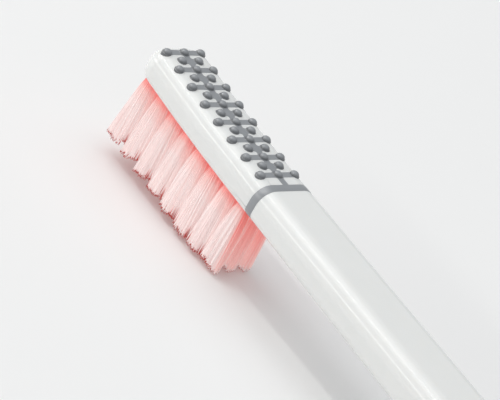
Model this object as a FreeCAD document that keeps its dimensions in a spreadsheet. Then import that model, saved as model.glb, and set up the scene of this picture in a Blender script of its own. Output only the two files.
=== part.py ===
import FreeCAD, Part
import math
import os

import Sketcher
from FreeCAD import Placement, Rotation, Vector

# A manual toothbrush. The white handle is moulded in one piece with its head, a grey rubber tongue
# cleaner is moulded into the back of the head, and tufts of bristle sit in blind holes in its
# front, each folded round a flat metal anchor that bites into the hole's wall.
#
# Lengths are in millimetres. The brush is modelled with +X along the straight handle towards its
# tail, +Y to its right and +Z out of its back. x = 0 is where the straight handle ends and the gently
# bent head begins, just behind the rubber ring. Last of all it is laid on its bristles.

SIZES = {
    # Handle and head
    "head_length": 31.0,
    "head_bend_radius": 380.0,
    "handle_length": 157.0,
    "brush_width": 9.8,
    "head_thickness": 4.8,
    "tail_thickness": 7.4,
    "tip_corner_radius": 3.6,
    "tail_corner_radius": 4.6,
    "back_edge_radius": 2.4,
    "front_edge_radius": 1.3,
    # Tongue cleaner
    "ring_setback": 0.3,
    "ring_width": 1.3,
    "inlay_depth": 0.6,
    "runner_width": 1.0,
    "runner_lap": 0.3,
    "nub_setback": 3.55,
    "nub_row_pitch": 1.78,
    "nub_column_pitch": 3.0,
    "nub_diameter": 1.65,
    "nub_height": 0.65,
    "nub_chamfer": 0.35,
    # Tufts in their holes
    "tuft_column_pitch": 2.6,
    "hole_diameter": 1.8,
    "hole_depth": 3.2,
    "tuft_clearance": 0.03,
    "tuft_height": 11.5,
    "tuft_tip_length": 3.3,
    "tuft_tip_width": 2.45,
    # Anchors
    "anchor_length": 2.2,
    "anchor_thickness": 0.3,
    "anchor_height": 1.4,
    "fold_thickness": 0.5,
    # How far every cutting shape runs past the faces that it cuts, and how near a face an edge is
    # for it to be picked for rounding
    "overrun": 2.0,
    "pick_distance": 0.03,
}

# Rows of nubs run from the ring to the tip, three and two by turns. A row of tufts lies under each
# row of three.
NUB_ROWS = 15
NUBS_IN_FULL_ROW = 3
TUFT_ROWS = (NUB_ROWS + 1) // 2
TUFT_COLUMNS = {"left": -1, "middle": 0, "right": 1}

# Nubs and tufts repeat, so each is drawn with a few flat sides
NUB_SIDES = 8
TUFT_SIDES = 8

QUARTER_TURN = 90.0
HALF_TURN = 180.0

doc = FreeCAD.newDocument("manual_toothbrush")
sheet = doc.addObject("Spreadsheet::Sheet", "sizes")
for line, (alias, value) in enumerate(SIZES.items(), start=1):
    sheet.set(f"A{line}", alias.replace("_", " "))
    sheet.set(f"B{line}", str(value))
    sheet.setAlias(f"B{line}", alias)
doc.recompute()


def size(alias):
    """A driving dimension, read back from the sheet."""
    return float(sheet.get(alias))


def bind(item, expressions):
    """Ties properties of a document object to the sheet."""
    for name, expression in expressions.items():
        item.setExpression(name, expression)


def drive(sketch, name, expression, *constraint):
    """Adds a dimension to a sketch and ties it to the sheet."""
    index = sketch.addConstraint(Sketcher.Constraint(*constraint))
    sketch.renameConstraint(index, name)
    sketch.setExpression(f"Constraints.{name}", expression)


def relate(sketch, *constraint):
    """Adds a geometric relation to a sketch."""
    sketch.addConstraint(Sketcher.Constraint(*constraint))


def origin_plane(body, role):
    """One of a body's own origin planes."""
    return next(item for item in body.Origin.OriginFeatures if item.Role == role)


def new_sketch(body, name, role):
    """An empty sketch on one of a body's own origin planes."""
    sketch = body.newObject("Sketcher::SketchObject", name)
    sketch.AttachmentSupport = [(origin_plane(body, role), "")]
    sketch.MapMode = "FlatFace"
    return sketch


def primitive(kind, name, placement, expressions):
    """A Part primitive tied to the sheet and set in its place."""
    item = doc.addObject(f"Part::{kind}", name)
    bind(item, expressions)
    item.Placement = placement
    return item


def combine(kind, name, first, second):
    """A boolean of two shapes."""
    item = doc.addObject(f"Part::{kind}", name)
    item.Base = first
    item.Tool = second
    return item


def join(name, items):
    """One shape fused from many."""
    item = doc.addObject("Part::MultiFuse", name)
    item.Shapes = items
    return item


def on_head(along, across, below):
    """A place on the bent head, with local +X to the tail and local +Z out of the back.

    along is measured on the back from the start of the bend towards the tip, across from the
    middle to the right, and below into the head from its back.
    """
    turn = along / size("head_bend_radius")
    reach = size("head_bend_radius") + below
    base = Vector(-reach * math.sin(turn), across, size("head_bend_radius") - reach * math.cos(turn))
    return Placement(base, Rotation(Vector(0, 1, 0), math.degrees(turn)))


def offset(x, y, z):
    """A plain shift."""
    return Placement(Vector(x, y, z), Rotation())


def front_slope():
    """The angle of the handle's front face, a straight line that touches the head's front arc."""
    arc_radius = size("head_bend_radius") + size("head_thickness")
    rise = size("head_bend_radius") + size("tail_thickness")
    run = size("handle_length")
    return math.acos(arc_radius / math.hypot(run, rise)) - math.atan2(run, rise)


def back_drop(across):
    """How far the head's rounded back edge lies below the flat of its back."""
    flat_half = size("brush_width") / 2 - size("back_edge_radius")
    past = max(abs(across) - flat_half, 0)
    return size("back_edge_radius") - math.sqrt(size("back_edge_radius") ** 2 - past ** 2)


def nub_row_along(row):
    """Where a row of nubs lies, counted from the one next to the ring."""
    return size("nub_setback") + row * size("nub_row_pitch")


# Handle blank: the whole brush body before anything is let into it

def draw_side_profile(body):
    """The brush seen from its side: straight handle, bent head, thicker towards the tail."""
    bend = size("head_bend_radius")
    thickness = size("head_thickness")
    length = size("handle_length")
    tail = size("tail_thickness")
    quarter = -math.pi / 2
    tip_angle = quarter - size("head_length") / bend
    touch_angle = quarter - front_slope()
    normal = Vector(0, 0, 1)
    centre = Vector(0, bend, 0)
    back_circle = Part.Circle(centre, normal, bend)
    front_circle = Part.Circle(centre, normal, bend + thickness)
    sketch = new_sketch(body, "side_profile", "XZ_Plane")
    back_line, back_arc, front_arc, tip_line, front_line, tail_line = sketch.addGeometry([
        Part.LineSegment(Vector(0, 0, 0), Vector(length, 0, 0)),
        Part.ArcOfCircle(back_circle, tip_angle, quarter),
        Part.ArcOfCircle(front_circle, tip_angle, touch_angle),
        Part.LineSegment(back_circle.value(tip_angle), front_circle.value(tip_angle)),
        Part.LineSegment(front_circle.value(touch_angle), Vector(length, -tail, 0)),
        Part.LineSegment(Vector(length, -tail, 0), Vector(length, 0, 0)),
    ])
    relate(sketch, "Coincident", back_line, 1, -1, 1)
    relate(sketch, "Horizontal", back_line)
    relate(sketch, "Tangent", back_arc, 2, back_line, 1)
    relate(sketch, "Coincident", front_arc, 3, back_arc, 3)
    relate(sketch, "Coincident", tip_line, 1, back_arc, 1)
    relate(sketch, "Coincident", tip_line, 2, front_arc, 1)
    relate(sketch, "PointOnObject", back_arc, 3, tip_line)
    relate(sketch, "Tangent", front_arc, 2, front_line, 1)
    relate(sketch, "Coincident", front_line, 2, tail_line, 1)
    relate(sketch, "Coincident", tail_line, 2, back_line, 2)
    relate(sketch, "Vertical", tail_line)
    drive(sketch, "straight_run", "sizes.handle_length", "DistanceX", back_line, 1, back_line, 2, length)
    drive(sketch, "back_bend", "sizes.head_bend_radius", "Radius", back_arc, bend)
    drive(sketch, "front_bend", "sizes.head_bend_radius + sizes.head_thickness", "Radius", front_arc,
          bend + thickness)
    drive(sketch, "head_sweep", "sizes.head_length / sizes.head_bend_radius * 180 / pi", "Angle", back_arc,
          size("head_length") / bend)
    drive(sketch, "tail_depth", "sizes.tail_thickness", "DistanceY", tail_line, 1, tail_line, 2, tail)
    return sketch


def round_edges(body, name, radius, wanted):
    """Rounds those edges of a body's last feature that a test picks by their middle and direction."""
    doc.recompute()
    base = body.Tip
    names = []
    for index, edge in enumerate(base.Shape.Edges, start=1):
        middle = edge.valueAt((edge.FirstParameter + edge.LastParameter) / 2)
        heading = edge.tangentAt((edge.FirstParameter + edge.LastParameter) / 2)
        if wanted(middle, heading):
            names.append(f"Edge{index}")
    fillet = body.newObject("PartDesign::Fillet", name)
    fillet.Base = (base, names)
    fillet.setExpression("Radius", f"sizes.{radius}")
    return fillet


def build_handle_blank():
    """The plain brush body: the side profile at full width, with rounded corners and edges."""
    body = doc.addObject("PartDesign::Body", "handle_blank")
    pad = body.newObject("PartDesign::Pad", "full_width")
    pad.Profile = draw_side_profile(body)
    pad.SideType = "Symmetric"
    pad.setExpression("Length", "sizes.brush_width")
    body.Tip = pad

    bend = size("head_bend_radius")
    thickness = size("head_thickness")
    slope = front_slope()
    near_tip = -size("head_length") + size("tip_corner_radius")
    near_tail = size("handle_length") - size("tail_corner_radius")
    upright_share = 0.9
    fine = size("pick_distance")

    def is_upright(heading):
        return abs(heading.z) > upright_share

    def on_rim(middle):
        return abs(middle.y) > size("back_edge_radius") or not near_tip < middle.x < near_tail

    def on_back(middle, heading):
        depth = -middle.z if middle.x > 0 else math.hypot(middle.x, bend - middle.z) - bend
        return on_rim(middle) and not is_upright(heading) and abs(depth) < fine

    def on_front(middle, heading):
        if middle.x > -math.sin(slope) * (bend + thickness):
            run = size("handle_length") - middle.x
            depth = -size("tail_thickness") + run * math.tan(slope) - middle.z
        else:
            depth = math.hypot(middle.x, bend - middle.z) - bend - thickness
        return on_rim(middle) and not is_upright(heading) and abs(depth) < fine

    round_edges(body, "tip_corners", "tip_corner_radius",
                lambda middle, heading: is_upright(heading) and middle.x < near_tip)
    round_edges(body, "tail_corners", "tail_corner_radius",
                lambda middle, heading: is_upright(heading) and middle.x > near_tail)
    round_edges(body, "back_edges", "back_edge_radius", on_back)
    round_edges(body, "front_edges", "front_edge_radius", on_front)
    doc.recompute()
    return body


# Tongue cleaner: flat runners and a ring let into the blank, and nubs that stand on its back

def bend_axis(across, turn):
    """A place on the axis of the head's bend, with local +Z to the right and +X to a point on the back."""
    turned = Rotation(Vector(1, 0, 0), -QUARTER_TURN) * Rotation(Vector(0, 0, 1), QUARTER_TURN + turn)
    return Placement(Vector(0, across, size("head_bend_radius")), turned)


def build_slice(name, near, far, reach, width):
    """A slice of the bent head between two distances along its back, as deep and wide as asked."""
    bend = size("head_bend_radius")
    sector = primitive("Cylinder", f"{name}_sector", Placement(), {
        "Radius": f"sizes.head_bend_radius + {reach}",
        "Height": width,
    })
    sector.Angle = math.degrees((far - near) / bend)
    doc.recompute()
    sector.Placement = bend_axis(-sector.Height.Value / 2, math.degrees(near / bend))
    return combine("Cut", name, sector, bend_core)


def build_runner_space():
    """The space of the runners: a bar along each row, which laps under its end nubs, and a spine."""
    half = size("runner_width") / 2
    slices = []
    for row in range(NUB_ROWS):
        links = NUBS_IN_FULL_ROW - 1 - row % 2
        along = nub_row_along(row)
        width = f"sizes.nub_column_pitch * {links} - sizes.nub_diameter + 2 * sizes.runner_lap"
        slices.append(build_slice(f"runner_{row + 1}", along - half, along + half, "sizes.inlay_depth", width))
    slices.append(build_slice("runner_spine", size("ring_setback") + size("ring_width") / 2,
                              nub_row_along(NUB_ROWS - 1), "sizes.inlay_depth", "sizes.runner_width"))
    return join("runner_space", slices)


def build_ring_space():
    """The space of the ring: a slice right through the brush, less the core that the ring grips."""
    past = size("overrun")
    depth = size("inlay_depth")
    ring_tip = size("ring_setback") + size("ring_width")
    ring_slice = build_slice("ring_slice", size("ring_setback"), ring_tip,
                             "sizes.head_thickness + sizes.overrun", "2 * sizes.brush_width")
    block = primitive("Box", "ring_core_block",
                      offset(-ring_tip - past, depth - size("brush_width") / 2, depth - size("head_thickness")), {
                          "Length": "sizes.ring_width + 2 * sizes.overrun",
                          "Width": "sizes.brush_width - 2 * sizes.inlay_depth",
                          "Height": "sizes.head_thickness - 2 * sizes.inlay_depth",
                      })
    doc.recompute()
    core = doc.addObject("Part::Fillet", "ring_core")
    core.Base = block
    rounding = []
    for index, edge in enumerate(block.Shape.Edges, start=1):
        on_back = edge.CenterOfMass.z > block.Shape.CenterOfMass.z
        radius = size("back_edge_radius" if on_back else "front_edge_radius") - depth
        if abs(edge.tangentAt(edge.FirstParameter).x) == 1:
            rounding.append((index, radius, radius))
    core.Edges = rounding
    return combine("Cut", "ring_space", ring_slice, core)


def nub_places():
    """Each nub's distance along the back and across it, row by row from the ring to the tip."""
    for row in range(NUB_ROWS):
        count = NUBS_IN_FULL_ROW - row % 2
        for place in range(count):
            yield nub_row_along(row), (place - (count - 1) / 2) * size("nub_column_pitch")


def build_nubs(blank):
    """The nubs: short studs with a bevelled end, each seated on the back and on the runner under it."""
    studs = []
    for number, (along, across) in enumerate(nub_places(), start=1):
        stud = primitive("Prism", f"nub_stud_{number}", on_head(along, across, size("inlay_depth")), {
            "Circumradius": "sizes.nub_diameter / 2",
        })
        stud.Polygon = NUB_SIDES
        stud.Height = size("inlay_depth") + size("nub_height") - back_drop(across)
        studs.append(stud)
    doc.recompute()
    nubs = []
    for number, stud in enumerate(studs, start=1):
        middle = stud.Shape.CenterOfMass
        out = stud.Placement.Rotation.multVec(Vector(0, 0, 1))
        nub = doc.addObject("Part::Chamfer", f"nub_{number}")
        nub.Base = stud
        rim = []
        for index, edge in enumerate(stud.Shape.Edges, start=1):
            if (edge.CenterOfMass - middle).dot(out) > stud.Height.Value / 2 - size("pick_distance"):
                rim.append((index, size("nub_chamfer"), size("nub_chamfer")))
        nub.Edges = rim
        nubs.append(nub)
    group = doc.addObject("Part::Compound", "nub_studs")
    group.Links = nubs
    return combine("Cut", "nubs", group, blank)


# Tufts and anchors

def tuft_places():
    """Each tuft's name and its place at the mouth of its hole, with local +Z out of the front."""
    for row in range(TUFT_ROWS):
        for side, step in TUFT_COLUMNS.items():
            place = on_head(nub_row_along(2 * row), step * size("tuft_column_pitch"), size("head_thickness"))
            facing_out = Placement(Vector(0, 0, 0), Rotation(Vector(1, 0, 0), HALF_TURN))
            yield f"row{TUFT_ROWS - row}_{side}", place * facing_out


def build_bundle():
    """A bundle of bristle about its hole's mouth: a root in the hole and a spread, trimmed length."""
    side_angle = HALF_TURN / TUFT_SIDES
    root_radius = "(sizes.hole_diameter / 2 - sizes.tuft_clearance)"
    root = build_shank("bundle_root", Placement(), root_radius, "sizes.hole_depth")
    root_half = f"{root_radius} * cos({side_angle})"
    flat_sides = build_spread("flat_sides", 0, root_half, "sizes.tuft_tip_length / 2", "sizes.tuft_tip_width / 2")
    oval_half = "sqrt((sizes.tuft_tip_length ^ 2 + sizes.tuft_tip_width ^ 2) / 8)"
    slant_sides = build_spread("slant_sides", QUARTER_TURN / 2, root_half, oval_half, oval_half)
    return combine("Fuse", "bundle", root, combine("Common", "bundle_spread", flat_sides, slant_sides))


def build_spread(name, turn, root_half, tip_half_length, tip_half_width):
    """Four sides of the bundle: square at the mouth, longer than wide at the trimmed end."""
    outwards = Rotation(Vector(0, 0, 1), turn) * Rotation(Vector(1, 0, 0), QUARTER_TURN)
    return primitive("Wedge", name, Placement(Vector(0, 0, 0), outwards), {
        "Ymin": "0",
        "Ymax": "sizes.tuft_height",
        "Xmin": f"-{root_half}",
        "Xmax": root_half,
        "Zmin": f"-{root_half}",
        "Zmax": root_half,
        "X2min": f"-{tip_half_length}",
        "X2max": tip_half_length,
        "Z2min": f"-{tip_half_width}",
        "Z2max": tip_half_width,
    })


def build_anchor(name, place):
    """A flat plate across the hole, over the fold of the bundle, with its ends in the hole's wall."""
    corner = offset(-size("anchor_length") / 2, -size("anchor_thickness") / 2,
                    size("fold_thickness") - size("hole_depth"))
    return primitive("Box", name, place * corner, {
        "Length": "sizes.anchor_length",
        "Width": "sizes.anchor_thickness",
        "Height": "sizes.anchor_height",
    })


def build_shank(name, place, circumradius, height):
    """The blind hole for a tuft, or the bundle's root that fills it, from the hole's floor up."""
    side_angle = HALF_TURN / TUFT_SIDES
    turned = Placement(Vector(0, 0, -size("hole_depth")), Rotation(Vector(0, 0, 1), side_angle))
    shank = primitive("Prism", name, place * turned, {
        "Circumradius": circumradius,
        "Height": height,
    })
    shank.Polygon = TUFT_SIDES
    return shank


blank = build_handle_blank()
bend_core = primitive("Cylinder", "bend_core", bend_axis(-size("brush_width") - size("overrun"), 0), {
    "Radius": "sizes.head_bend_radius - sizes.overrun",
    "Height": "2 * sizes.brush_width + 2 * sizes.overrun",
})
flush_space = join("flush_space", [build_runner_space(), build_ring_space()])
flush_rubber = combine("Common", "flush_rubber", blank, flush_space)
cleaner = combine("Fuse", "tongue_cleaner", flush_rubber, build_nubs(blank))
bundle = build_bundle()
bundle_slot = build_anchor("bundle_slot", Placement())
tufts = []
holes = []
anchors = []
for name, place in tuft_places():
    tufts.append(combine("Cut", f"tuft_{name}", bundle, bundle_slot))
    holes.append(build_shank(f"hole_{name}", place, "sizes.hole_diameter / 2", "sizes.hole_depth + sizes.overrun"))
    anchors.append(build_anchor(f"anchor_{name}", place))

anchor_group = doc.addObject("Part::Compound", "tuft_anchors")
anchor_group.Links = anchors
recessed = combine("Cut", "recessed_handle", blank, flush_space)
handle = combine("Cut", "handle", recessed, join("tuft_holes_and_slots", holes + anchors))
doc.recompute()


# Lay the brush on its bristles: the last row's trimmed ends and the tail's front edge touch z = 0

def resting_pitch():
    """The turn about +Y at which the tail and the last tufts touch one level surface."""
    edge = size("front_edge_radius")
    trimmed_end = on_head(nub_row_along(0), 0, size("head_thickness") + size("tuft_height"))
    rim = (trimmed_end * offset(size("tuft_tip_length") / 2, 0, 0)).Base
    slope = front_slope()
    tail_low = -size("tail_thickness") + edge * (1 + math.sin(slope)) / math.cos(slope)
    run = size("handle_length") - edge - rim.x
    rise = tail_low - rim.z
    return math.atan2(rise, run) - math.asin(edge / math.hypot(run, rise))


nodes = [handle, cleaner, anchor_group] + tufts
local_places = [Placement(), Placement(), Placement()] + [place for name, place in tuft_places()]
pitch = Placement(Vector(0, 0, 0), Rotation(Vector(0, 1, 0), math.degrees(resting_pitch())))
whole = FreeCAD.BoundBox()
for node, place in zip(nodes, local_places):
    node.Label = node.Name
    node.Placement = pitch * place
    whole.add(node.Shape.optimalBoundingBox())
to_origin = offset(-whole.Center.x, -whole.Center.y, -whole.ZMin)
for node, place in zip(nodes, local_places):
    node.Placement = to_origin * pitch * place

for item in doc.Objects:
    if "Invalid" in item.State or "Error" in item.State:
        raise RuntimeError(f"{item.Name} failed: {item.State}")
for node in nodes:
    if node.Shape.isNull() or not node.Shape.isValid() or not node.Shape.Solids:
        raise RuntimeError(f"{node.Label} has no valid solid")

os.makedirs("parts", exist_ok=True)
for node in nodes:
    node.Shape.exportStep(f"parts/{node.Label}.step")
    box = node.Shape.optimalBoundingBox()
    print(f"{node.Label}: {len(node.Shape.Solids)} solid(s), {node.Shape.Volume:.2f} mm3, "
          f"x {box.XMin:.2f} to {box.XMax:.2f}, y {box.YMin:.2f} to {box.YMax:.2f}, "
          f"z {box.ZMin:.2f} to {box.ZMax:.2f}")
print(f"pitch {math.degrees(resting_pitch()):.3f} degrees, whole brush {whole.XLength:.2f} x {whole.YLength:.2f} "
      f"x {whole.ZLength:.2f}")
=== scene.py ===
import math
import random

import bpy
import numpy as np
from mathutils import Matrix, Vector


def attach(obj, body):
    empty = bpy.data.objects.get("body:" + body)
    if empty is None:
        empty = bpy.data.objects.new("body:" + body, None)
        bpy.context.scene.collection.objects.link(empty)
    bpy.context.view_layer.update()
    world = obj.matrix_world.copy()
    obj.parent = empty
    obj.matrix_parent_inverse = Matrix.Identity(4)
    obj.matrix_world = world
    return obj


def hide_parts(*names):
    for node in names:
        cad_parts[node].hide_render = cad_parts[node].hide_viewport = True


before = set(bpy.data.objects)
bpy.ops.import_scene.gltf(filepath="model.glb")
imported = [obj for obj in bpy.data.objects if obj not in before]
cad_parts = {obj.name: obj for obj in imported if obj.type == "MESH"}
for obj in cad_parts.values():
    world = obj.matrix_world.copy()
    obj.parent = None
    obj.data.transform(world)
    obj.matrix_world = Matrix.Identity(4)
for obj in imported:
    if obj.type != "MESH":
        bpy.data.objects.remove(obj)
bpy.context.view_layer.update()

# Handle. One white moulding from the tip of the head to the tail, glossy from a polished mould. Its back
# has a shallow recess for the rubber, and the front of its head has a blind hole for each tuft.

bend_radius = 0.380
bend_start = Vector((-0.0622545, 0.0, 0.0161563))
rest_pitch = math.radians(3.23534)
rest = Matrix.Translation(bend_start) @ Matrix.Rotation(rest_pitch, 4, "Y")
flat_land_tilt = math.radians(2.0)
flat_land_weight = 50
handle_smooth_angle = math.radians(28)
handle_merge_distance = 0.000001

ripple_detail = 2.0
grain_detail = 4.0
grain_height_share = 0.25
white_tones = ((0.80, 0.81, 0.80), (0.83, 0.835, 0.825))
white_roughness = (0.15, 0.22)
white_ripple_scale = 260.0
white_grain_scale = 2400.0
white_bump_height = 0.000003
white_refraction = 1.49
white_subsurface_share = 0.15
white_subsurface_depths = (0.0012, 0.0011, 0.001)


def select_only(piece):
    """Makes one object the only selected one and the active one."""
    bpy.ops.object.select_all(action="DESELECT")
    piece.select_set(True)
    bpy.context.view_layer.objects.active = piece


def back_direction(place):
    """The way out of the brush's back at a place: one way along the handle, turning along the bent head."""
    along = max(-(rest.inverted() @ place).x, 0.0)
    turn = rest_pitch + math.asin(along / bend_radius)
    return Vector((math.sin(turn), 0.0, math.cos(turn)))


def true_flat_lands(mesh):
    """Gives each face of the flat back, front and sides the exact direction of the land it belongs to."""
    normals = [corner.vector.copy() for corner in mesh.corner_normals]
    for face in mesh.polygons:
        back = back_direction(face.center)
        for corner in face.loop_indices:
            place = mesh.vertices[mesh.loops[corner].vertex_index].co
            if face.normal.angle(back) < flat_land_tilt:
                normals[corner] = back_direction(place)
            elif face.normal.angle(-back) < flat_land_tilt:
                normals[corner] = -back_direction(place)
            elif face.normal.xz.length < math.sin(flat_land_tilt):
                normals[corner] = Vector((0.0, math.copysign(1.0, face.normal.y), 0.0))
    mesh.normals_split_custom_set(normals)


handle = bpy.data.objects.new("handle_moulding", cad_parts["handle"].data.copy())
bpy.context.collection.objects.link(handle)
select_only(handle)
bpy.ops.object.mode_set(mode="EDIT")
bpy.ops.mesh.select_all(action="SELECT")
bpy.ops.mesh.remove_doubles(threshold=handle_merge_distance)
bpy.ops.object.mode_set(mode="OBJECT")
bpy.ops.object.shade_smooth_by_angle(angle=handle_smooth_angle)
weigh = handle.modifiers.new("flat_lands_stay_flat", "WEIGHTED_NORMAL")
weigh.keep_sharp = True
weigh.weight = flat_land_weight
bpy.ops.object.modifier_apply(modifier=weigh.name)
true_flat_lands(handle.data)


def new_material(name):
    """An empty material with its output and its one surface shader."""
    material = bpy.data.materials.new(name)
    material.use_nodes = True
    tree = material.node_tree
    tree.nodes.clear()
    output = tree.nodes.new("ShaderNodeOutputMaterial")
    surface = tree.nodes.new("ShaderNodeBsdfPrincipled")
    tree.links.new(surface.outputs["BSDF"], output.inputs["Surface"])
    return material, tree, surface


def make_moulded_grain():
    """The fine unevenness of a moulded surface: a soft ripple, a fine grain and a slow drift of tone."""
    group = bpy.data.node_groups.new("moulded_grain", "ShaderNodeTree")
    group.interface.new_socket("Ripple Scale", in_out="INPUT", socket_type="NodeSocketFloat")
    group.interface.new_socket("Grain Scale", in_out="INPUT", socket_type="NodeSocketFloat")
    group.interface.new_socket("Height", in_out="OUTPUT", socket_type="NodeSocketFloat")
    group.interface.new_socket("Drift", in_out="OUTPUT", socket_type="NodeSocketFloat")
    enter = group.nodes.new("NodeGroupInput")
    leave = group.nodes.new("NodeGroupOutput")
    place = group.nodes.new("ShaderNodeTexCoord")
    ripple = group.nodes.new("ShaderNodeTexNoise")
    ripple.inputs["Detail"].default_value = ripple_detail
    grain = group.nodes.new("ShaderNodeTexNoise")
    grain.inputs["Detail"].default_value = grain_detail
    blend = group.nodes.new("ShaderNodeMath")
    blend.operation = "MULTIPLY_ADD"
    blend.inputs[1].default_value = grain_height_share
    for noise, scale in ((ripple, "Ripple Scale"), (grain, "Grain Scale")):
        group.links.new(place.outputs["Object"], noise.inputs["Vector"])
        group.links.new(enter.outputs[scale], noise.inputs["Scale"])
    group.links.new(grain.outputs["Fac"], blend.inputs[0])
    group.links.new(ripple.outputs["Fac"], blend.inputs[2])
    group.links.new(blend.outputs["Value"], leave.inputs["Height"])
    group.links.new(ripple.outputs["Fac"], leave.inputs["Drift"])
    return group


moulded_grain = make_moulded_grain()


def add_grain(tree, surface, tones, roughness, ripple_scale, grain_scale, bump_height):
    """Places the moulded grain in a material: tone, gloss and a slight bump all follow it."""
    grain = tree.nodes.new("ShaderNodeGroup")
    grain.node_tree = moulded_grain
    grain.inputs["Ripple Scale"].default_value = ripple_scale
    grain.inputs["Grain Scale"].default_value = grain_scale
    tone = tree.nodes.new("ShaderNodeMix")
    tone.data_type = "RGBA"
    tone.inputs["A"].default_value = (*tones[0], 1.0)
    tone.inputs["B"].default_value = (*tones[1], 1.0)
    gloss = tree.nodes.new("ShaderNodeMapRange")
    gloss.inputs["To Min"].default_value = roughness[0]
    gloss.inputs["To Max"].default_value = roughness[1]
    bump = tree.nodes.new("ShaderNodeBump")
    bump.inputs["Strength"].default_value = 1.0
    bump.inputs["Distance"].default_value = bump_height
    tree.links.new(grain.outputs["Drift"], tone.inputs["Factor"])
    tree.links.new(grain.outputs["Drift"], gloss.inputs["Value"])
    tree.links.new(grain.outputs["Height"], bump.inputs["Height"])
    tree.links.new(gloss.outputs["Result"], surface.inputs["Roughness"])
    tree.links.new(bump.outputs["Normal"], surface.inputs["Normal"])
    tree.links.new(tone.outputs["Result"], surface.inputs["Base Color"])
    return tone


white_plastic, tree, surface = new_material("white_plastic")
add_grain(tree, surface, white_tones, white_roughness,
          white_ripple_scale, white_grain_scale, white_bump_height)
surface.inputs["IOR"].default_value = white_refraction
surface.inputs["Subsurface Weight"].default_value = white_subsurface_share
surface.inputs["Subsurface Radius"].default_value = white_subsurface_depths
surface.inputs["Subsurface Scale"].default_value = 1.0
handle.data.materials.clear()
handle.data.materials.append(white_plastic)
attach(handle, "root")
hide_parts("handle")

# Tongue cleaner. One grey rubber moulding shot into the recess: a ring round the brush, a spine and cross
# runners that lie level with the white back, and a field of soft domed nubs in rows of three and two.

brush_width = 0.0098
head_thickness = 0.0048
back_edge_radius = 0.0024
front_edge_radius = 0.0013
inlay_depth = 0.0006
rubber_proud = 0.00002
rubber_smooth_angle = math.radians(40)

ring_setback = 0.0003
ring_width = 0.0013
ring_corner_segments = 14
ring_end_wall_tilt = math.radians(60)
ring_edge_round = 0.00006
ring_edge_segments = 2
ring_edge_angle = math.radians(60)

nub_rows = 15
nub_setback = 0.00355
nub_row_pitch = 0.00178
nub_column_pitch = 0.003
nub_seat_radius = 0.000825
nub_radius = 0.00065
nub_height = 0.00058
nub_segments = 24
nub_rings = 14
nub_foot_height = 0.0001
nub_foot_radius = 0.00076
nub_foot_level = 1.01 * nub_foot_height
nub_foot_step_shares = ((0.5, 0.3), (0.4, 0.7))

runner_half = 0.0005
runner_lap = 0.0003
runner_slack = runner_half / 10
runner_fillet = 0.00034
runner_fillet_segments = 4

grey_tones = ((0.24, 0.253, 0.272), (0.295, 0.308, 0.327))
grey_roughness = (0.30, 0.40)
grey_ripple_scale = 420.0
grey_grain_scale = 5200.0
grey_bump_height = 0.000012
grey_specular_level = 1.0
# Painted shade: the nubs' base colour darkens from the crown towards the foot, as if the flanks were in
# shade; the ring and runners keep their tone.
painted_foot_shade_tone = (0.55, 0.55, 0.55, 1.0)
painted_shade_crown_tone = (1.0, 1.0, 1.0, 1.0)
painted_shade_foot_share = 0.15
painted_shade_crown_share = 0.9
rise_map_middle = 0.5


def on_head(along, across, above):
    """A place on the bent head: along its back from the bend to the tip, across it, and out of its back."""
    turn = along / bend_radius
    reach = bend_radius - above
    flat = Vector((-reach * math.sin(turn), across, bend_radius - reach * math.cos(turn)))
    return Matrix.Translation(rest @ flat) @ Matrix.Rotation(rest_pitch + turn, 4, "Y")


def select_edges(piece, wanted):
    """Selects the edges of a mesh whose two ends pass a test, and nothing else, then enters edit mode."""
    select_only(piece)
    mesh = piece.data
    for item in list(mesh.polygons) + list(mesh.edges) + list(mesh.vertices):
        item.select = False
    for edge in mesh.edges:
        first, second = (mesh.vertices[index].co for index in edge.vertices)
        if wanted(first, second):
            edge.select = True
            for index in edge.vertices:
                mesh.vertices[index].select = True
    bpy.context.tool_settings.mesh_select_mode = (False, True, False)
    bpy.ops.object.mode_set(mode="EDIT")


def select_faces(piece, wanted):
    """Selects the faces of a mesh that pass a test, and nothing else, then enters edit mode."""
    select_only(piece)
    mesh = piece.data
    for item in list(mesh.edges) + list(mesh.vertices):
        item.select = False
    for face in mesh.polygons:
        face.select = wanted(face)
    bpy.context.tool_settings.mesh_select_mode = (False, False, True)
    bpy.ops.object.mode_set(mode="EDIT")


bpy.ops.object.select_all(action="DESELECT")
bpy.ops.mesh.primitive_cube_add(size=1.0)
ring = bpy.context.object
ring.name = "ring"
ring.scale = (ring_width, brush_width + 2 * rubber_proud, head_thickness + 2 * rubber_proud)
bpy.ops.object.transform_apply(location=False, rotation=False, scale=True)
for side, radius in ((1, back_edge_radius), (-1, front_edge_radius)):
    select_edges(ring, lambda a, b: a.z * side > 0 and b.z * side > 0 and a.x * b.x < 0)
    bpy.ops.mesh.bevel(offset=radius, segments=ring_corner_segments, affect="EDGES")
    bpy.ops.object.mode_set(mode="OBJECT")
select_faces(ring, lambda face: abs(face.normal.x) > math.cos(ring_end_wall_tilt))
bpy.ops.mesh.delete(type="FACE")
bpy.ops.object.mode_set(mode="OBJECT")
thicken = ring.modifiers.new("into_the_groove", "SOLIDIFY")
thicken.thickness = inlay_depth
thicken.offset = -1.0
thicken.use_even_offset = True
bpy.ops.object.modifier_apply(modifier=thicken.name)
soften = ring.modifiers.new("soft_edges", "BEVEL")
soften.width = ring_edge_round
soften.segments = ring_edge_segments
soften.limit_method = "ANGLE"
soften.angle_limit = ring_edge_angle
bpy.ops.object.modifier_apply(modifier=soften.name)
ring.data.transform(on_head(ring_setback + ring_width / 2, 0.0, -head_thickness / 2))

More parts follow.
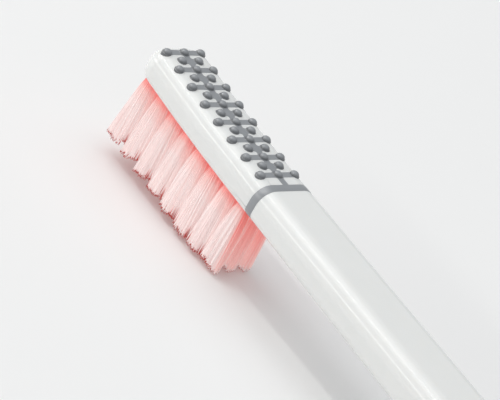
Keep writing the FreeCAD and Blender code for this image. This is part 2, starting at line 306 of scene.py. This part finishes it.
spine_start = ring_setback + ring_width / 2
row_alongs = [nub_setback + row * nub_row_pitch for row in range(nub_rows)]
row_nub_counts = [3 - row % 2 for row in range(nub_rows)]
runner_reaches = [nub_column_pitch * (count - 1) / 2 - nub_seat_radius + runner_lap
                  for count in row_nub_counts]
long_reach = max(runner_reaches)
short_reach = min(runner_reaches)
lines_along = [spine_start] + [along + step for along in row_alongs for step in (-runner_half, runner_half)]
lines_across = [-long_reach, -short_reach, -runner_half, runner_half, short_reach, long_reach]
cells_along = len(lines_along) - 1
cells_across = len(lines_across) - 1

bpy.ops.object.select_all(action="DESELECT")
bpy.ops.mesh.primitive_grid_add(x_subdivisions=cells_along, y_subdivisions=cells_across, size=1.0)
runners = bpy.context.object
runners.name = "runners"
for vertex in runners.data.vertices:
    column = round((vertex.co.x + 0.5) * cells_along)
    row = round((vertex.co.y + 0.5) * cells_across)
    vertex.co = (lines_along[column], lines_across[row], rubber_proud)


def is_rubber(centre):
    """Whether a cell of the runner grid lies on the spine or on a row's own bar."""
    if abs(centre.y) < runner_half:
        return True
    for along, reach in zip(row_alongs, runner_reaches):
        if abs(centre.x - along) < runner_half:
            return abs(centre.y) < reach
    return False


select_faces(runners, lambda face: not is_rubber(face.center))
bpy.ops.mesh.delete(type="FACE")
bpy.ops.object.mode_set(mode="OBJECT")
thicken = runners.modifiers.new("into_the_recess", "SOLIDIFY")
thicken.thickness = inlay_depth
thicken.offset = -1.0
bpy.ops.object.modifier_apply(modifier=thicken.name)


def is_inner_corner(first, second):
    """Whether an upright edge stands where a bar meets the spine."""
    upright = (first - second).xy.length < runner_slack and abs(first.z - second.z) > inlay_depth / 2
    beside_spine = abs(abs(first.y) - runner_half) < runner_slack
    beside_bar = first.x > row_alongs[0] - runner_half - runner_slack
    return upright and beside_spine and beside_bar


select_edges(runners, is_inner_corner)
bpy.ops.mesh.bevel(offset=runner_fillet, segments=runner_fillet_segments, affect="EDGES")
bpy.ops.object.mode_set(mode="OBJECT")
for vertex in runners.data.vertices:
    vertex.co = on_head(*vertex.co).translation

bpy.ops.object.select_all(action="DESELECT")
bpy.ops.mesh.primitive_uv_sphere_add(segments=nub_segments, ring_count=nub_rings, radius=nub_radius)
nub = bpy.context.object
nub.name = "nub"
bpy.ops.object.mode_set(mode="EDIT")
bpy.ops.mesh.select_all(action="SELECT")
bpy.ops.mesh.bisect(plane_co=(0, 0, 0), plane_no=(0, 0, 1), clear_inner=True)
bpy.ops.object.mode_set(mode="OBJECT")
for vertex in nub.data.vertices:
    vertex.co.z = nub_foot_height + vertex.co.z * (nub_height - nub_foot_height) / nub_radius
select_edges(nub, lambda a, b: max(a.z, b.z) < nub_foot_level)
foot_spread = nub_foot_radius - nub_radius
radius = nub_radius
for down_share, out_share in nub_foot_step_shares:
    bpy.ops.mesh.extrude_region_move(TRANSFORM_OT_translate={"value": (0, 0, -nub_foot_height * down_share)})
    wider = radius + foot_spread * out_share
    bpy.ops.transform.resize(value=(wider / radius, wider / radius, 1))
    radius = wider
bpy.ops.mesh.extrude_region_move(TRANSFORM_OT_translate={"value": (0, 0, -inlay_depth)})
bpy.ops.mesh.edge_face_add()
bpy.ops.object.mode_set(mode="OBJECT")


def mark_rise(mesh, top):
    """Notes how far up a nub each point lies, from its foot to its crown, which sets the nub's painted shade;
    level rubber counts as a crown.
    """
    rise = mesh.uv_layers.new(name="rise")
    for loop in mesh.loops:
        rise_share = mesh.vertices[loop.vertex_index].co.z / top if top else 1.0
        rise.data[loop.index].uv = (rise_map_middle, min(max(rise_share, 0.0), 1.0))


mark_rise(ring.data, None)
mark_rise(runners.data, None)
mark_rise(nub.data, nub_height)

flat_half = brush_width / 2 - back_edge_radius
rubber_pieces = [ring, runners]
for row, (along, count) in enumerate(zip(row_alongs, row_nub_counts)):
    for step in range(count):
        across = (step - (count - 1) / 2) * nub_column_pitch
        past = max(abs(across) - flat_half, 0.0)
        drop = back_edge_radius - math.sqrt(back_edge_radius ** 2 - past ** 2)
        copy = bpy.data.objects.new(f"nub_{row}_{step}", nub.data.copy())
        bpy.context.collection.objects.link(copy)
        copy.data.transform(on_head(along, across, -drop))
        rubber_pieces.append(copy)
bpy.data.objects.remove(nub)

bpy.ops.object.select_all(action="DESELECT")
for piece in rubber_pieces:
    piece.select_set(True)
bpy.context.view_layer.objects.active = ring
bpy.ops.object.join()
cleaner = bpy.context.object
cleaner.name = "tongue_cleaner_rubber"
bpy.ops.object.mode_set(mode="EDIT")
bpy.ops.mesh.select_all(action="SELECT")
bpy.ops.mesh.normals_make_consistent(inside=False)
bpy.ops.object.mode_set(mode="OBJECT")
bpy.ops.object.shade_smooth_by_angle(angle=rubber_smooth_angle)

grey_rubber, tree, surface = new_material("grey_rubber")
tone = add_grain(tree, surface, grey_tones, grey_roughness,
                 grey_ripple_scale, grey_grain_scale, grey_bump_height)
rise_map = tree.nodes.new("ShaderNodeUVMap")
rise_map.uv_map = "rise"
split = tree.nodes.new("ShaderNodeSeparateXYZ")
# Painted shade on the nubs' flanks, deepest at the foot.
painted_flank_shade = tree.nodes.new("ShaderNodeValToRGB")
painted_flank_shade.color_ramp.interpolation = "EASE"
painted_flank_shade.color_ramp.elements[0].position = painted_shade_foot_share
painted_flank_shade.color_ramp.elements[0].color = painted_foot_shade_tone
painted_flank_shade.color_ramp.elements[1].position = painted_shade_crown_share
painted_flank_shade.color_ramp.elements[1].color = painted_shade_crown_tone
shade = tree.nodes.new("ShaderNodeMix")
shade.data_type = "RGBA"
shade.blend_type = "MULTIPLY"
shade.inputs["Factor"].default_value = 1.0
tree.links.new(rise_map.outputs["UV"], split.inputs["Vector"])
tree.links.new(split.outputs["Y"], painted_flank_shade.inputs["Fac"])
tree.links.new(tone.outputs["Result"], shade.inputs["A"])
tree.links.new(painted_flank_shade.outputs["Color"], shade.inputs["B"])
tree.links.new(shade.outputs["Result"], surface.inputs["Base Color"])
surface.inputs["Specular IOR Level"].default_value = grey_specular_level
cleaner.data.materials.clear()
cleaner.data.materials.append(grey_rubber)
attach(cleaner, "root")
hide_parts("tongue_cleaner")

# Anchors. Small flat plates punched from brass strip, one across each bundle inside its hole, where they
# pinch the folded bristles. They are out of sight, so the plates themselves are shown as they are.

brass_tones = ((0.55, 0.42, 0.18), (0.66, 0.52, 0.25))
brass_roughness = (0.28, 0.42)
brass_ripple_scale = 900.0
brass_grain_scale = 7000.0
brass_bump_height = 0.000006

anchor_metal, tree, surface = new_material("anchor_metal")
add_grain(tree, surface, brass_tones, brass_roughness,
          brass_ripple_scale, brass_grain_scale, brass_bump_height)
surface.inputs["Metallic"].default_value = 1.0
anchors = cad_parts["tuft_anchors"]
anchors.data.materials.clear()
anchors.data.materials.append(anchor_metal)

# Tufts. Each is a bundle of fine pink nylon filaments, folded in its hole so that both ends stand up, then
# trimmed and rounded at the tips. The bundle spreads from the hole; painted shade makes it deepest red at the
# root, and it has a painted glow.

tuft_rows = 8
tuft_height = 0.0115
tuft_sides = 8
corner_digits = 7

strands_in_tuft = 400
strand_radius = 0.000055
strand_sides = 5
strand_parts = 4
strand_root_share = 0.134
strand_taper_start_share = 0.965
strand_tip_share = 0.45
share_slack = 0.01
golden_angle = math.pi * (3 - math.sqrt(5))
angle_jitter = 0.3
root_sink = 0.0012
tip_fill_share = 1.15
opening_power = 0.6
tip_jitter = 0.00012
bow = 0.00012
tip_row_lean = 0.0006
ring_row_leans = {7: 0.0002, 8: 0.0005}

length_jitter = 0.00026
clumps_in_tuft = 9
clump_twist = 3
clump_step = 0.00045
end_clump_share = 0.3
front_growth = 0.0005
end_crown = 0.0011
trim_slopes = (0.00042, 0.00040, 0.00040, 0.00034, 0.00012, 0.00006, 0.00008, 0.0)

root_tone = 0.122
tip_tone = 0.73
# Painted shade: the rows by the ring are drawn redder, as if in the ring's shade.
ring_row_shade_shares = (1.0, 1.0, 1.0, 1.0, 1.0, 0.98, 0.96, 0.88)
# Painted shade: the middle column's strands stay red further up, as if shaded by the tufts round them.
inner_shade_power = 1.9
# Painted shade: strands at a tuft's front and back edge, in the gaps between tufts, are drawn redder and
# darker at the root.
gap_shade_power = 3
gap_shade_share = 0.3
gap_root_shade_drop = 0.028
# Painted shade: the last row's end face, turned away from the lamps, is drawn deeper red.
end_shade_start_share = 0.4
end_shade_flank_share = 0.9
end_face_shade_share = 0.80
end_shade_power = 0.7
end_root_shade_drop = 0.036
# Painted shade: a dark red line down the outer strands beside a neighbouring tuft, near the tips, stands for
# the shadowed gap between tufts.
notch_ahead_share = 0.7
notch_outward_share = 0.3
notch_radius_share = 0.9
notch_start_share = 0.75
gap_line_shade_tones = (0.70, 0.86)

# The ramp of the nylon's colour and painted shade: the first, nearly black red stops are a painted shadow
# where the strands leave the head; the red stops after them are painted shade deep in the bundle; the pale
# pink is the nylon's own colour; the last stop darkens the trimmed tips.
nylon_pale = (0.94, 0.81, 0.795)
nylon_and_shade_stops = ((0.0, (0.50, 0.07, 0.06)), (0.085, (0.55, 0.08, 0.07)), (0.10, (0.92, 0.24, 0.21)),
               (0.13, (0.96, 0.36, 0.33)), (0.20, (0.95, 0.68, 0.65)), (0.34, nylon_pale),
               (0.76, nylon_pale), (0.86, (0.50, 0.06, 0.05)))
nylon_brightness = (0.86, 1.0)
# Strength of the nylon's painted glow: light passing through the filaments, painted as emission.
painted_glow_strength = 0.23
nylon_roughness = 0.4
spare_stop_place = 0.5

bpy.ops.object.select_all(action="DESELECT")
bpy.ops.mesh.primitive_cylinder_add(vertices=strand_sides, radius=1.0, depth=1.0, location=(0, 0, 0.5),
                                    end_fill_type="TRIFAN")
strand = bpy.context.object
bpy.ops.object.transform_apply(location=True, rotation=False, scale=False)
bpy.ops.object.mode_set(mode="EDIT")
even_cut_shares = [step / strand_parts for step in range(1, strand_parts)]
for cut_share in [strand_root_share, *even_cut_shares, strand_taper_start_share]:
    bpy.ops.mesh.select_all(action="SELECT")
    bpy.ops.mesh.bisect(plane_co=(0, 0, cut_share), plane_no=(0, 0, 1))
bpy.ops.object.mode_set(mode="OBJECT")
strand_points = np.array([vertex.co for vertex in strand.data.vertices])
strand_points[strand_points[:, 2] > (1 + strand_taper_start_share) / 2, :2] *= strand_tip_share
strand_shares = strand_points[:, 2]
strand_faces = [list(face.vertices) for face in strand.data.polygons]
bpy.data.objects.remove(strand)


def colour_and_shade_depths(row, is_inner, outward, radius, ahead, aside):
    """Where each point of a strand lies in the nylon's colour ramp: red at the root, pale pink further up,
    dark at the tip. The red is painted shade, drawn deeper in the gaps, in the middle column, on the end face
    and in the rows by the ring.
    """
    is_last_row = row == tuft_rows
    # Painted shade on the last row's end face, which turns away from the lamps.
    end_face_shade_mask = end_shade_start_share - ahead - end_shade_flank_share * max(outward * aside, 0.0)
    end_face_shade_mask = min(max(end_face_shade_mask, 0.0), 1.0) if is_last_row else 0.0
    # Painted shade in the gaps between tufts, strongest at a tuft's front and back edge.
    gap_shade_mask = abs(ahead) ** gap_shade_power
    shaded_share = ring_row_shade_shares[row - 1]
    shaded_share *= 1 - max(end_face_shade_share * end_face_shade_mask, gap_shade_share * gap_shade_mask)
    start_tone = root_tone - max(end_root_shade_drop * end_face_shade_mask, gap_root_shade_drop * (1.0 if is_inner else gap_shade_mask))
    # Painted shade keeps the strands of the middle column and of the end face red further up.
    depth_power = end_shade_power if is_last_row else inner_shade_power if is_inner else 1.0
    risen = (strand_shares - strand_root_share) / (strand_taper_start_share - strand_root_share)
    climb = np.clip(risen, 0, None) ** depth_power * shaded_share
    depths = np.where(risen < -share_slack, 0.0, start_tone + (tip_tone - start_tone) * climb)
    # Painted shade: a dark red line near the tips of outer strands that stand beside a neighbouring tuft.
    has_neighbour = row > 1 if ahead > 0 else not is_last_row
    beside_neighbour = has_neighbour and abs(ahead) > notch_ahead_share and radius > notch_radius_share
    if beside_neighbour and outward * aside > notch_outward_share:
        notch_shares = (notch_start_share, strand_taper_start_share)
        gap_line_shade_depths = np.interp(strand_shares, notch_shares, gap_line_shade_tones)
        depths = np.where(strand_shares > notch_start_share - share_slack, gap_line_shade_depths, depths)
    return np.where(strand_shares > strand_taper_start_share + share_slack, 1.0, depths)


def spread_bundle(node, row, draw):
    """The strands of one tuft, from its hole to its trimmed end, and each point's tone and its place in the
    colour ramp, painted shade included.
    """
    corners = {tuple(round(value, corner_digits) for value in vertex.co) for vertex in node.data.vertices}
    corners = sorted((Vector(corner) for corner in corners), key=lambda corner: corner.z)
    end_corners = corners[:tuft_sides]
    floor_corners = corners[-tuft_sides:]
    end_middle = sum(end_corners, Vector()) / tuft_sides
    floor_middle = sum(floor_corners, Vector()) / tuft_sides
    out = (end_middle - floor_middle).normalized()
    right = Vector((0.0, 1.0, 0.0))
    forward = right.cross(out).normalized()
    half_width = max((corner - end_middle).dot(right) for corner in end_corners)
    half_length = max((corner - end_middle).dot(forward) for corner in end_corners)
    root_radius = max((corner - floor_middle).dot(right) for corner in floor_corners)
    axes = np.array([forward, right, out])
    mouth = np.array(end_middle - out * tuft_height)
    clumps = [draw.uniform(0, clump_step) for clump in range(clumps_in_tuft)]
    growth = front_growth * (tuft_rows - row) / (tuft_rows - 1)
    is_first_row = row == 1
    is_last_row = row == tuft_rows
    is_middle = node.name.endswith("middle")
    is_inner = is_middle and not is_last_row
    outward = 0.0 if is_middle else math.copysign(1.0, end_middle.y)
    points = []
    tones = []
    for index in range(strands_in_tuft):
        radius = math.sqrt((index + 0.5) / strands_in_tuft)
        angle = index * golden_angle + draw.uniform(-angle_jitter, angle_jitter)
        ahead = radius * math.cos(angle)
        aside = radius * math.sin(angle)
        start = np.array([ahead, aside]) * root_radius
        end = np.array([ahead * half_length, aside * half_width]) * tip_fill_share
        end += [draw.gauss(0, tip_jitter), draw.gauss(0, tip_jitter)]
        end[0] += tip_row_lean * max(ahead, 0.0) if is_first_row else ring_row_leans.get(row, 0.0)
        lean = np.array([draw.gauss(0, bow), draw.gauss(0, bow)])
        clump = clumps[int(angle / (2 * math.pi) * clumps_in_tuft + clump_twist * radius) % clumps_in_tuft]
        clump *= 1 - max(ahead, 0.0) if is_first_row else 1.0
        clump *= end_clump_share if is_last_row else 1.0
        height = tuft_height + growth + trim_slopes[row - 1] * (ahead - 1)
        height -= clump + abs(draw.gauss(0, length_jitter))
        height -= end_crown * aside ** 2 if is_last_row else 0.0
        reach = -root_sink + (height + root_sink) * strand_shares
        opening = np.clip(reach / tuft_height, 0, None) ** opening_power
        sideways = start + np.outer(opening, end - start) + np.outer(np.sin(math.pi * opening), lean)
        sideways += strand_points[:, :2] * strand_radius
        points.append(np.column_stack([sideways, reach]) @ axes + mouth)
        depths = colour_and_shade_depths(row, is_inner, outward, radius, ahead, aside)
        tones.append(np.column_stack([np.full(len(depths), draw.random()), depths]))
    return np.concatenate(points), np.concatenate(tones)


pink_nylon, tree, surface = new_material("pink_nylon")
strand_map = tree.nodes.new("ShaderNodeUVMap")
strand_map.uv_map = "strand"
split = tree.nodes.new("ShaderNodeSeparateXYZ")
ramp = tree.nodes.new("ShaderNodeValToRGB")
while len(ramp.color_ramp.elements) < len(nylon_and_shade_stops):
    ramp.color_ramp.elements.new(spare_stop_place)
for element, (place, colour) in zip(ramp.color_ramp.elements, nylon_and_shade_stops):
    element.position = place
    element.color = (*colour, 1.0)
brightness = tree.nodes.new("ShaderNodeMapRange")
brightness.inputs["To Min"].default_value = nylon_brightness[0]
brightness.inputs["To Max"].default_value = nylon_brightness[1]
vary = tree.nodes.new("ShaderNodeHueSaturation")
tree.links.new(strand_map.outputs["UV"], split.inputs["Vector"])
tree.links.new(split.outputs["Y"], ramp.inputs["Fac"])
tree.links.new(split.outputs["X"], brightness.inputs["Value"])
tree.links.new(brightness.outputs["Result"], vary.inputs["Value"])
tree.links.new(ramp.outputs["Color"], vary.inputs["Color"])
tree.links.new(vary.outputs["Color"], surface.inputs["Base Color"])
# Painted light: the nylon glows with its own colour, standing in for light that passes through the filaments.
tree.links.new(vary.outputs["Color"], surface.inputs["Emission Color"])
surface.inputs["Emission Strength"].default_value = painted_glow_strength
surface.inputs["Roughness"].default_value = nylon_roughness

tuft_names = sorted(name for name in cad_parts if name.startswith("tuft_row"))
for seed, name in enumerate(tuft_names, start=1):
    row = int(name.split("_")[1].removeprefix("row"))
    points, tones = spread_bundle(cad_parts[name], row, random.Random(seed))
    faces = [[index + copy * len(strand_points) for index in face]
             for copy in range(strands_in_tuft) for face in strand_faces]
    mesh = bpy.data.meshes.new(name.replace("tuft", "bristles"))
    mesh.from_pydata(points.tolist(), [], faces)
    tone_map = mesh.uv_layers.new(name="strand")
    corner_points = np.empty(len(mesh.loops), dtype=np.int32)
    mesh.loops.foreach_get("vertex_index", corner_points)
    tone_map.data.foreach_set("uv", tones[corner_points].astype(np.float32).ravel())
    bristles = bpy.data.objects.new(mesh.name, mesh)
    bpy.context.collection.objects.link(bristles)
    select_only(bristles)
    bpy.ops.object.shade_smooth()
    mesh.materials.append(pink_nylon)
    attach(bristles, "root")
    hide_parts(name)

# Stage. A plain pale paper floor under the brush. Soft light comes from the sky all round, a softbox beyond
# the tip, another overhead, and two long strip lights that draw the bright lines along the near edge.

floor_side = 6.0
floor_tones = ((0.88, 0.88, 0.88), (0.89, 0.89, 0.89))
floor_roughness = (0.85, 0.95)
floor_ripple_scale = 3.0
floor_grain_scale = 60.0
floor_bump_height = 0.00001
floor_specular_level = 0.1

sky_colour = (0.985, 0.995, 1.0, 1.0)
sky_strength = 0.49
lamp_aim = Vector((0.0, 0.0, 0.015))
tip_softbox_place = (-0.81, -0.26, 0.99)
tip_softbox_side = 1.0
tip_softbox_power = 5.2
tip_softbox_colour = (1.0, 1.0, 1.0)
top_softbox_place = (0.1, 0.3, 1.3)
top_softbox_side = 1.2
top_softbox_power = 2.6
top_softbox_colour = (0.91, 0.96, 1.0)
strip_length = 1.5
strip_width = 0.035
strip_colour = (1.0, 0.985, 0.95)
low_strip_place = (-0.57, -0.75, 0.34)
low_strip_power = 2.4
high_strip_place = (-0.57, -0.28, 0.78)
high_strip_power = 1.75

bpy.ops.object.select_all(action="DESELECT")
bpy.ops.mesh.primitive_plane_add(size=floor_side)
floor = bpy.context.object
floor.name = "floor"
floor_paper, tree, surface = new_material("floor_paper")
add_grain(tree, surface, floor_tones, floor_roughness,
          floor_ripple_scale, floor_grain_scale, floor_bump_height)
surface.inputs["Specular IOR Level"].default_value = floor_specular_level
floor.data.materials.append(floor_paper)

world = bpy.data.worlds.new("studio")
world.use_nodes = True
bpy.context.scene.world = world
sky = world.node_tree.nodes["Background"]
sky.inputs["Color"].default_value = sky_colour
sky.inputs["Strength"].default_value = sky_strength


def add_softbox(name, place, width, height, power, colour):
    """A flat lamp of a given size that faces the brush, its long side level with it."""
    lamp = bpy.data.lights.new(name, "AREA")
    lamp.shape = "RECTANGLE"
    lamp.size = width
    lamp.size_y = height
    lamp.energy = power
    lamp.color = colour
    softbox = bpy.data.objects.new(name, lamp)
    bpy.context.collection.objects.link(softbox)
    softbox.location = place
    back = (Vector(place) - lamp_aim).normalized()
    long_side = (Vector((1, 0, 0)) - back * back.x).normalized()
    softbox.rotation_euler = Matrix((long_side, back.cross(long_side), back)).transposed().to_euler()


add_softbox("tip_softbox", tip_softbox_place, tip_softbox_side, tip_softbox_side,
            tip_softbox_power, tip_softbox_colour)
add_softbox("top_softbox", top_softbox_place, top_softbox_side, top_softbox_side,
            top_softbox_power, top_softbox_colour)
add_softbox("low_strip", low_strip_place, strip_length, strip_width, low_strip_power, strip_colour)
add_softbox("high_strip", high_strip_place, strip_length, strip_width, high_strip_power, strip_colour)

# Camera. It stands where the photograph was taken from, a place that was worked out from the field of nubs,
# so it is given from a point on the back of the head: how far off it is, and which way is right and up in it.

camera_base_along = 0.016
camera_in_head = Vector((0.14610, -0.17200, 0.12480))
camera_right = Vector((0.507, 0.738, 0.446)).normalized()
camera_rough_up = Vector((-0.679, 0.023, 0.734))
focal_length = 138.7
sensor_width = 36.0
nearest_sight = 0.01
farthest_sight = 20.0

camera_up = (camera_rough_up - camera_right * camera_rough_up.dot(camera_right)).normalized()
camera_back = camera_right.cross(camera_up)
camera_turn = Matrix((camera_right, camera_up, camera_back)).transposed()
lens = bpy.data.cameras.new("photograph")
lens.sensor_fit = "HORIZONTAL"
lens.sensor_width = sensor_width
lens.lens = focal_length
lens.clip_start = nearest_sight
lens.clip_end = farthest_sight
camera = bpy.data.objects.new("photograph", lens)
bpy.context.collection.objects.link(camera)
head_place = on_head(camera_base_along, 0.0, 0.0)
camera.matrix_world = head_place @ Matrix.Translation(camera_in_head) @ camera_turn.to_4x4()
bpy.context.scene.camera = camera
bpy.context.scene.view_settings.view_transform = "Standard"
